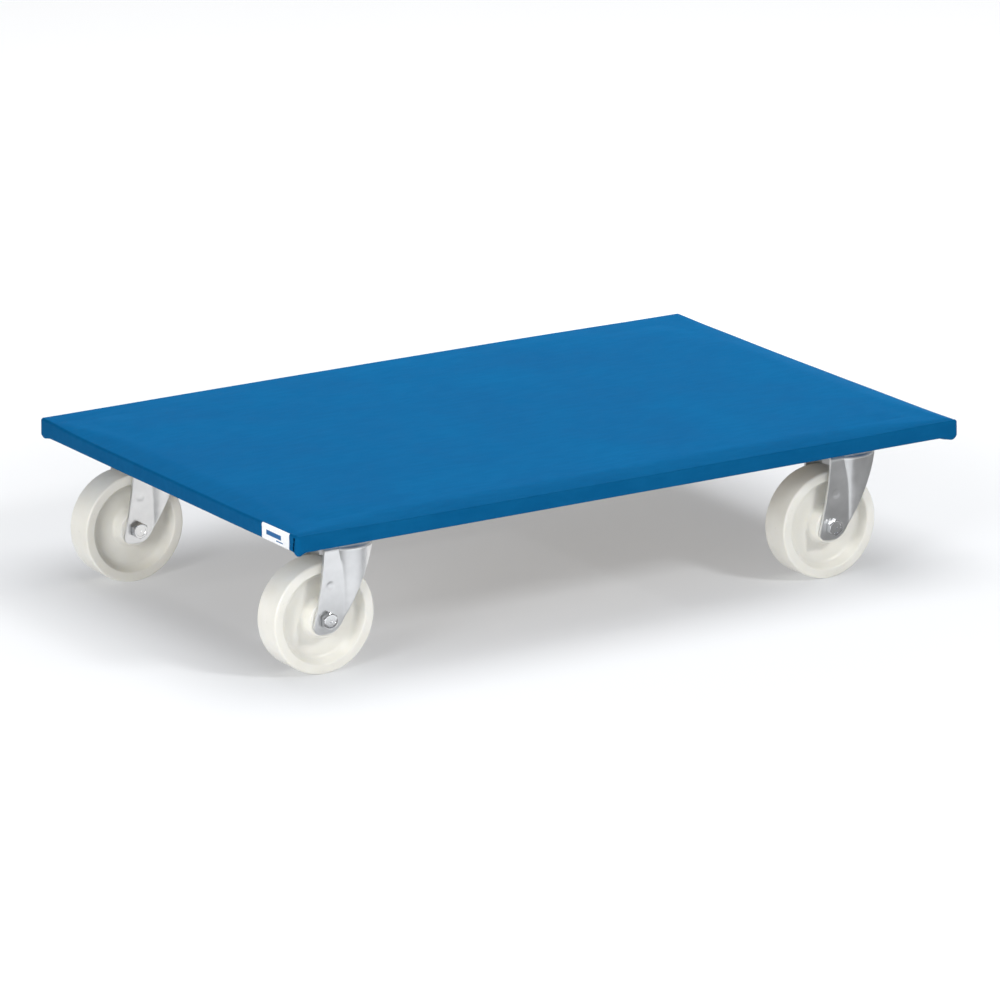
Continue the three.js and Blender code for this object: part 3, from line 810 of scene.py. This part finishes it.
def make_prototypes():
    """One of each caster piece, as (node ending, body ending, slot, piece, place)."""
    sheet, bright = ("zinc_sheet", [SHEET_ZINC]), ("bright_steel", [BRIGHT_ZINC])
    nut, roller = ("bright_steel", [BRIGHT_ZINC, NYLON]), ("polyamide", [POLYAMIDE])
    fork = make_fork()
    centre, axle = (0, 0, 0), (-TRAIL, 0, AXLE_Z)
    table = [
        ("top_plate", "", sheet, top_plate_mesh(), centre),
        ("lower_cup", "", sheet, lower_cup_mesh(), centre),
        ("kingpin", "", bright, kingpin_mesh(), centre),
        ("upper_balls", "ball_rings", bright, balls_mesh(UPPER_RACE), centre),
        ("lower_balls", "ball_rings", bright, balls_mesh(LOWER_RACE), centre),
        ("fork", "swivel", sheet, None, centre),
        ("axle_bolt", "swivel", bright, axle_bolt_mesh(), axle),
        ("axle_nut", "swivel", nut, axle_nut_mesh(), axle),
        ("wheel", "roller", roller, wheel_mesh(), axle),
    ]
    return [
        (ending, body, slot, make_piece(ending, shape, materials) if shape else fork, place)
        for ending, body, (slot, materials), shape, place in table
    ]


def make_casters():
    """Places every caster's pieces. The pieces of all four share their meshes."""
    prototypes = make_prototypes()
    screw = make_piece("screw", screw_mesh(), [BRIGHT_ZINC])
    for corner in CASTERS:
        axis = Vector(JOINTS[f"{corner}_swivel_turn"]["pos_m"]) / MM
        axis.z = 0
        for ending, body, slot, prototype, place in prototypes:
            node = f"{corner}_{ending}"
            piece = place_piece(f"{node}_look", prototype.data, axis + Vector(place))
            claim(piece, f"{corner}_{body}" if body else "platform", node)
        for number, (x, y) in enumerate(SCREWS):
            node = f"{corner}_screw_{number + 1}"
            piece = place_piece(f"{node}_look", screw.data, (axis.x + x, axis.y + y, 0))
            piece.rotation_euler.z = math.radians(17 + 23 * number + 7 * len(corner))  # as if by hand
            claim(piece, "platform", node)
        dress(f"{corner}_axle_tube", SHEET_ZINC)
    for *_, prototype, _ in prototypes:
        bpy.data.objects.remove(prototype)
    bpy.data.objects.remove(screw)


# ---- deck cover
HALF_X, HALF_Y = DECK_HIGH.x, DECK_HIGH.y
EDGE_TOP = 177.8  # the wrapped board's top edge, below the crown of the felt backing
CORNER = 3.0
TOP_RADIUS, BOTTOM_RADIUS = 2.8, 2.2
HEM = 30.0
FABRIC_THICKNESS = 1.1
CROWN_WIDTH = 36.0  # from the deck's edge to where the backing reaches its full height
TOP_MARGIN = 40  # from the deck's edge to the level middle of the top
BLEND = 64.0  # the columns crowd together over this distance from a corner
ARC_STEPS = 5  # columns on each side of a corner's middle
FLAT_SHARES = (0.12, 0.25, 0.4, 0.55, 0.7, 0.85)  # rows down the side, between its two rounded edges
DRAWN = 1.1  # how far the tight fabric draws an edge down
FOLD = {"top": 4.0, "low": 6.0, "groove": 4.2, "depth": 0.9}  # the seam on the short sides
SLACK = 0.35  # how far the fabric bellies and waves between corners
GATHER = 0.7  # how far the gathered fabric stands out at a corner
MITRE = 0.8  # how far the hem's two ends stay apart at a corner


def side_profile():
    """(inset from the deck's edge, z) from the crown over the edge and side to the hem."""
    low = DECK_LOW.z
    insets = (TOP_MARGIN, CROWN_WIDTH, 32, 28, 24, 20.5, 17, 14, 11.5, 9, 7, 5.2, 3.9)
    profile = [(inset, EDGE_TOP) for inset in insets]
    quarter = [math.pi / 2 * step / 6 for step in range(7)]
    for angle in reversed(quarter):
        inset, drop = (TOP_RADIUS * (1 - part) for part in (math.cos(angle), math.sin(angle)))
        profile.append((inset, EDGE_TOP - drop))
    flat_side = EDGE_TOP - TOP_RADIUS - low - BOTTOM_RADIUS
    profile += [(0, EDGE_TOP - TOP_RADIUS - flat_side * share) for share in FLAT_SHARES]
    for angle in quarter:
        inset, rise = (BOTTOM_RADIUS * (1 - part) for part in (math.cos(angle), math.sin(angle)))
        profile.append((inset, low + rise))
    profile += [(inset, low) for inset in (4, 6.5, 9.5, 13, 17, 21, 25, 28, HEM)]
    return profile


def loop_columns():
    """One entry for each column round the deck: a place on a corner's arc or along a side."""
    fine, step, widest = 0.6, 0.9, 12
    near = [CORNER + fine * k for k in range(1, 29)]
    while near[-1] < BLEND:
        near.append(near[-1] + step)
        step = min(step * 1.3, widest)
    columns = []
    corners = [(1, -1), (1, 1), (-1, 1), (-1, -1)]  # anticlockwise, seen from above
    for number, start in enumerate(corners):
        end = corners[(number + 1) % 4]
        kind, half = (("short", HALF_Y), ("long", HALF_X))[number % 2]
        columns += [("arc", start, k / ARC_STEPS) for k in range(-ARC_STEPS, ARC_STEPS + 1)]
        columns += [("side", start, end, q, kind) for q in near]
        middle = 2 * (half - near[-1])
        count = round(middle / 14)
        evenly = (near[-1] + middle * k / count for k in range(1, count))
        columns += [("side", start, end, q, kind) for q in evenly]
        columns += [("side", start, end, 2 * half - q, kind) for q in reversed(near)]
    return columns


def edge_lift(x, y):
    """How the edge departs from EDGE_TOP. It is fuller along the long side away from the label. The
    tight fabric draws it down at the other end's middle, and along the label's two sides."""
    to_end, to_side = HALF_X - x, HALF_Y - y  # the two that are away from the label
    full = 1.6 + 0.9 * (1 - (x / HALF_X) ** 2) - 0.8 * ease(to_end, 250, 0)
    end_middle = ease(y, 230, 30) * (1 - min(1, abs(y) / HALF_Y) ** 8)
    drawn = DRAWN * ease(to_end, 40, 4) * end_middle
    if min(HALF_X + x, HALF_Y + y) < min(to_end, to_side):
        from_corner = max(HALF_X - abs(x), HALF_Y - abs(y))
        drawn += DRAWN * ease(from_corner, 15, 135)
    return full * ease(to_side, 70, 4) - drawn


def crown_rise(x, y):
    """The backing's height over EDGE_TOP: full in the middle, and drawn tight at the corners."""
    to_x, to_y = HALF_X - abs(x), HALF_Y - abs(y)
    near, far = min(to_x, to_y), max(to_x, to_y)
    width = CROWN_WIDTH * (0.3 + 0.7 * ease(far, 4, 154))
    t = min(1, max(0, near - TOP_RADIUS) / (width - TOP_RADIUS))
    lift = edge_lift(x, y)
    peak = (DECK_HIGH.z - EDGE_TOP) * (0.35 + 0.65 * ease(far, 0, 190))
    return lift + max(0, peak - lift) * (4 * t - t**4) / 3


def height_share(z):
    """0 at the deck's lower face, and 1 at its edge."""
    return min(1, max(0, (z - DECK_LOW.z) / (EDGE_TOP - DECK_LOW.z)))


def fold_seam(z):
    """How far from the corner the fold's free edge lies at height z."""
    return FOLD["low"] + (FOLD["top"] - FOLD["low"]) * height_share(z)


def face_offset(q, z, along, folded):
    """How far the fabric stands out from the flat side, at distance q from the nearest corner. A
    folded corner has its seam on this side."""
    height = height_share(z)
    wave = noise.noise(Vector((along * 0.011, z * 0.03, 7.0 if folded else 3.0)))
    slack = SLACK * wave * ease(q, 0, 30)
    belly = SLACK * math.sin(math.pi * height)
    if not folded:
        return slack + belly + GATHER * math.exp(-((q / 22) ** 2)) * (1 - 0.5 * height)
    seam = fold_seam(z)
    if q < seam:
        flare = 0.5 * min(1, q / 3) * (1 - height)
        return belly * q / seam + GATHER + flare
    wall, closed, open_from = FOLD["depth"], 1.04, 0.96
    groove_end = seam + FOLD["groove"]
    depth = wall * ease(q, groove_end, groove_end - wall) * ease(height, closed, open_from)
    return slack + belly - depth


def corner_sag(q, kind, corner, inset):
    """How far the gathered fabric hangs below the deck near a corner: to a point at the label's, and
    in a bulge beside each other one."""
    if corner == (-1, -1):
        hang = 3.0 * ((1 - min(1, q / 14.5)) ** 1.2 if kind == "short" else ease(q, 11, 3))
    elif corner == (-1, 1):
        hang = 2.4 * ease(q, 18, 6) * (0.1 + 0.9 * ease(q, 0, 7))
    else:
        hang = 3.7 * ease(q, 21, 7) * (0.45 + 0.55 * ease(q, 0, 6))
    return hang * min(1, max(inset, 0.4) / 1.2) * ease(inset, 24, 4)


def cover_point(column, inset, z):
    """A point of the cover's outer face."""
    if column[0] == "arc":
        _, (sx, sy), k = column
        turned = k if sx * sy > 0 else -k
        angle = math.pi / 4 * (1 + turned)
        ux, uy = math.cos(angle), math.sin(angle)
        kind = "short" if ux > uy else "long"
        out = GATHER * (1 - 0.45 * height_share(z)) if inset < CORNER else 0
        reach = CORNER - min(inset, CORNER) + out
        x, y = HALF_X - CORNER + reach * ux, HALF_Y - CORNER + reach * uy
        if inset > CORNER:
            x -= inset - CORNER + MITRE * max(0, turned)
            y -= inset - CORNER + MITRE * max(0, -turned)
        sag = corner_sag(0, kind, (sx, sy), inset) + (1 - abs(k)) * ease(inset, 8, 16)
        x, y = sx * x, sy * y
    else:
        _, start, end, place, kind = column
        half, depth = (HALF_Y, HALF_X) if kind == "short" else (HALF_X, HALF_Y)
        q, nearest = (place, start) if place <= half else (2 * half - place, end)
        along_sign = (end[1] if kind == "short" else end[0]) * (1 if place > half else -1)
        spread_q = q
        if q < BLEND and inset > CORNER:
            first = inset + 1.2
            spread_q = first + (BLEND - first) * (q - CORNER) / (BLEND - CORNER)
        along = along_sign * (half - spread_q)
        folded = kind == "short" and nearest[1] < 0
        out = face_offset(q, z, along, folded) if inset < CORNER else 0
        across = depth - inset + out
        sag = corner_sag(q, kind, nearest, inset)
        if inset > 6:
            sag += 0.3 * (1 + noise.noise(Vector((along * 0.03, inset * 0.1, 11.0))))
        x, y = (start[0] * across, along) if kind == "short" else (along, start[1] * across)
    under = z < DECK_LOW.z + BOTTOM_RADIUS + 0.1
    return Vector((x, y, z - sag if under else z + crown_rise(x, y) * height_share(z)))


def fill_top(points, loop, height):
    """Triangles over the level middle of the top, with a grid of points inside the loop."""
    flat = [Vector(points[i][:2]) for i in loop]
    across, along = (
        [(half - TOP_MARGIN) * (2 * k / count - 1) for k in range(1, count)]
        for half, count in ((HALF_X, 44), (HALF_Y, 28))
    )
    flat += [Vector((x, y)) for x in across for y in along]
    edges = [(k, (k + 1) % len(loop)) for k in range(len(loop))]
    places, _, faces, origins, *_ = geometry.delaunay_2d_cdt(flat, edges, [], 1, 1e-4)
    index = []
    for place, origin in zip(places, origins):
        source = origin[0] if origin else -1
        if 0 <= source < len(loop):
            index.append(loop[source])
            continue
        dip = 0.12 * noise.noise(Vector((place.x * 0.01, place.y * 0.01, 2.0)))
        index.append(len(points))
        points.append(Vector((place.x, place.y, height + min(0, dip))))
    return [[index[i] for i in face] for face in faces]


def in_fold(column, inset, z):
    """Whether the face after a column is down inside a corner fold's groove."""
    if column[0] == "arc" or column[4] == "long" or inset >= CORNER or z > EDGE_TOP - TOP_RADIUS:
        return False
    _, start, end, place, _ = column
    q, nearest = (place, start) if place <= HALF_Y else (2 * HALF_Y - place, end)
    return nearest[1] < 0 and -0.3 < q - fold_seam(z) < FOLD["groove"]


def make_cover():
    """The fabric: over the crown, down the sides and turned under the board as a hem."""
    columns, profile = loop_columns(), side_profile()
    points, faces = skin([[cover_point(column, *place) for column in columns] for place in profile])
    slots = []
    # Faces down in a corner fold's groove take slot 1, the near-black painted shade of the slit.
    for (inset, z), (_, next_z) in zip(profile, profile[1:]):
        slots += [int(in_fold(column, inset, (z + next_z) / 2)) for column in columns]
    faces += fill_top(points, list(range(len(columns))), DECK_HIGH.z)
    slots += [0] * (len(faces) - len(slots))
    shape = (points, faces, slots)
    cover = make_piece("deck_cover_look", shape, [FABRIC, FOLD_PAINTED_SHADE], sharp=60)
    solidify = cover.modifiers.new("thickness", "SOLIDIFY")
    solidify.thickness = FABRIC_THICKNESS * MM
    solidify.offset = -1
    apply_modifiers(cover)
    inside = (EDGE_TOP - FABRIC_THICKNESS) * MM
    for vertex in cover.data.vertices[len(points) :]:
        vertex.co.z = min(vertex.co.z, inside)
    claim(cover, "platform", "deck_cover")


def make_label():
    """A thin film sticker that follows the deck's end over its whole height."""
    low, high = (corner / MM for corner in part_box("deck_label"))
    side = [place for place in side_profile() if place[0] < 1.7 and place[1] > DECK_LOW.z + 0.1]
    count = 30
    rows = []
    for lift, outline in ((0.35, side), (0.05, side[::-1])):
        for inset, z in outline:
            bulge = 1.2 * math.sin(math.pi * height_share(z))
            row = []
            for k in range(count + 1):
                y = low.y + (high.y - low.y) * k / count - bulge
                x = -(HALF_X - inset + face_offset(HALF_Y + y, z, y, True))
                row.append((x - lift, y, z + edge_lift(x, y) * height_share(z)))
            rows.append(row)
    points, faces = skin(rows, closed=True, around=False)
    for end in (0, count):
        faces.append([i * (count + 1) + end for i in range(len(rows))])
    label = make_piece("deck_label_look", (points, faces), [FILM], sharp=60)
    claim(label, "platform", "deck_label")


def staple_mesh():
    """One wire staple, flat on the hem, with its two legs bent up into the board."""
    wire, half, leg, count = 0.45, 5.5, 1.6, 8
    path = [(-half, leg), (-half, 0.5), (-half + 0.5, 0), (half - 0.5, 0), (half, 0.5), (half, leg)]
    sideways = Vector((0, 1, 0))
    rows = [[(-half, 0, leg)]]
    for n, (u, v) in enumerate(path):
        before, after = path[max(n - 1, 0)], path[min(n + 1, len(path) - 1)]
        upward = Vector((after[0] - before[0], 0, after[1] - before[1])).normalized().cross(sideways)
        row = []
        for k in range(count):
            angle = 2 * math.pi * k / count
            offset = sideways * math.cos(angle) * wire + upward * math.sin(angle) * wire
            row.append((u + offset.x, offset.y, v + offset.z))
        rows.append(row)
    return skin([*rows, [(half, 0, leg)]])


def make_staples():
    """Wire staples that hold the hem to the board, set a little unevenly."""
    chooser = random.Random(4)
    wire, faces = staple_mesh()
    pitch, from_end, from_edge, z = 62, 45, 21, DECK_LOW.z - 0.75
    staples = []
    for lengthwise, half_side, half_other in ((True, HALF_X, HALF_Y), (False, HALF_Y, HALF_X)):
        reach = half_side - from_end
        steps = round(2 * reach / pitch)
        for sign in (-1, 1):
            for k in range(steps + 1):
                along = -reach + 2 * reach * k / steps + chooser.uniform(-5, 5)
                across = sign * (half_other - from_edge + chooser.uniform(-1.5, 1.5))
                turn = math.radians(chooser.uniform(-9, 9)) + (0 if lengthwise else math.pi / 2)
                x, y = (along, across) if lengthwise else (across, along)
                c, s = math.cos(turn), math.sin(turn)
                points = [(x + u * c - w * s, y + u * s + w * c, z + v) for u, w, v in wire]
                staples.append((points, faces))
    claim(make_piece("hem_staples", join(*staples), [BRIGHT_ZINC]), "platform")


# ---- studio
def floor_look():
    """A pale translucent sheet, lit from below more and more away from the trolley."""
    look = Look("floor", (0.55, 0.56, 0.575), 0.9, specular=0.1)
    look.put("Emission Color", (1, 1, 1))
    away = look.node("VectorMath", {0: look.coordinates()}, "Value", operation="LENGTH")
    glow = {"Value": away, "From Min": 0.5, "From Max": 1.3, "To Min": 0.27, "To Max": 0.6}
    strength = look.node("MapRange", glow, "Result", interpolation_type="SMOOTHSTEP")
    look.put("Emission Strength", strength)
    return look.material


def lay_sheet(name, material, low, high, z=0):
    """A level rectangle that belongs to the studio."""
    mesh = bpy.data.meshes.new(name)
    places = [(low[0], low[1], z), (high[0], low[1], z), (high[0], high[1], z), (low[0], high[1], z)]
    mesh.from_pydata(places, [], [(0, 1, 2, 3)])
    mesh.materials.append(material)
    sheet = place_piece(name, mesh)
    return sheet


def make_floor():
    """The floor, and cards on it that only gloss sees, so that the metal has dark and bright things
    to reflect while the floor stays evenly pale."""
    lay_sheet("floor", floor_look(), (-40, -40), (40, 40))
    dark = Look("dark_card", (0.22, 0.22, 0.22), 0.9, specular=0.1)
    bright = Look("bright_card", (0.9, 0.9, 0.9), 0.9, specular=0.1)
    bright.put("Emission Color", (1, 1, 1))
    bright.put("Emission Strength", 0.6)
    for name, look, low, high in (
        ("right_card", dark, (0.29, -1.3), (1.9, 1.6)),
        ("left_card", dark, (-1.9, -0.9), (-0.46, 1.6)),
        ("front_card", dark, (-0.46, -0.4), (0.29, -0.3)),
        ("middle_card", bright, (-0.36, -0.24), (0.1, 0.14)),
    ):
        card = lay_sheet(name, look.material, low, high, z=0.002)
        for kind in ("camera", "diffuse", "shadow", "transmission", "volume_scatter"):
            setattr(card, f"visible_{kind}", False)


def make_lights():
    """An even sky and five lamps. A lamp may leave out the cover, or light nothing else."""
    world = bpy.data.worlds.new("studio")
    world.use_nodes = True
    background = world.node_tree.nodes["Background"]
    background.inputs["Color"].default_value = (1, 1, 1, 1)
    background.inputs["Strength"].default_value = 0.24
    bpy.context.scene.world = world
    bpy.context.scene.view_settings.view_transform = "Standard"
    lamps = [  # name, place, target, size, power, and how the cover is linked to its light
        ("overhead", (0.3, -0.1, 3.6), (0, 0, 0), 3.2, 36, None),
        ("overhead_fill", (0.3, -0.1, 3.6), (0, 0, 0), 3.2, 122, "EXCLUDE"),
        ("key", (1.3, -3.3, 2.6), (0, -0.1, 0.08), 0.7, 66, None),
        ("left", (-2.8, -1.3, 0.9), (-0.3, 0, 0.08), 1.1, 44, None),
        ("back", (3.8, 6.1, 2.8), (0, 0, 0.17), 3, 1560, "INCLUDE"),
    ]
    for name, place, target, size, power, cover in lamps:
        data = bpy.data.lights.new(name, "AREA")
        data.shape = "SQUARE"
        data.size = size
        data.energy = power
        lamp = bpy.data.objects.new(name, data)
        lamp.location = place
        lamp.rotation_euler = (Vector(target) - Vector(place)).to_track_quat("-Z", "Y").to_euler()
        bpy.context.scene.collection.objects.link(lamp)
        if cover:
            lit = bpy.data.collections.new(f"{name}_lit")
            lit.objects.link(bpy.data.objects["deck_cover_look"])
            lit.collection_objects[0].light_linking.link_state = cover
            lamp.light_linking.receiver_collection = lit
        lamp.visible_glossy = name != "back"


make_camera()
make_cover()
make_label()
make_staples()
dress("deck_board", PLYWOOD)
make_casters()
make_floor()
make_lights()
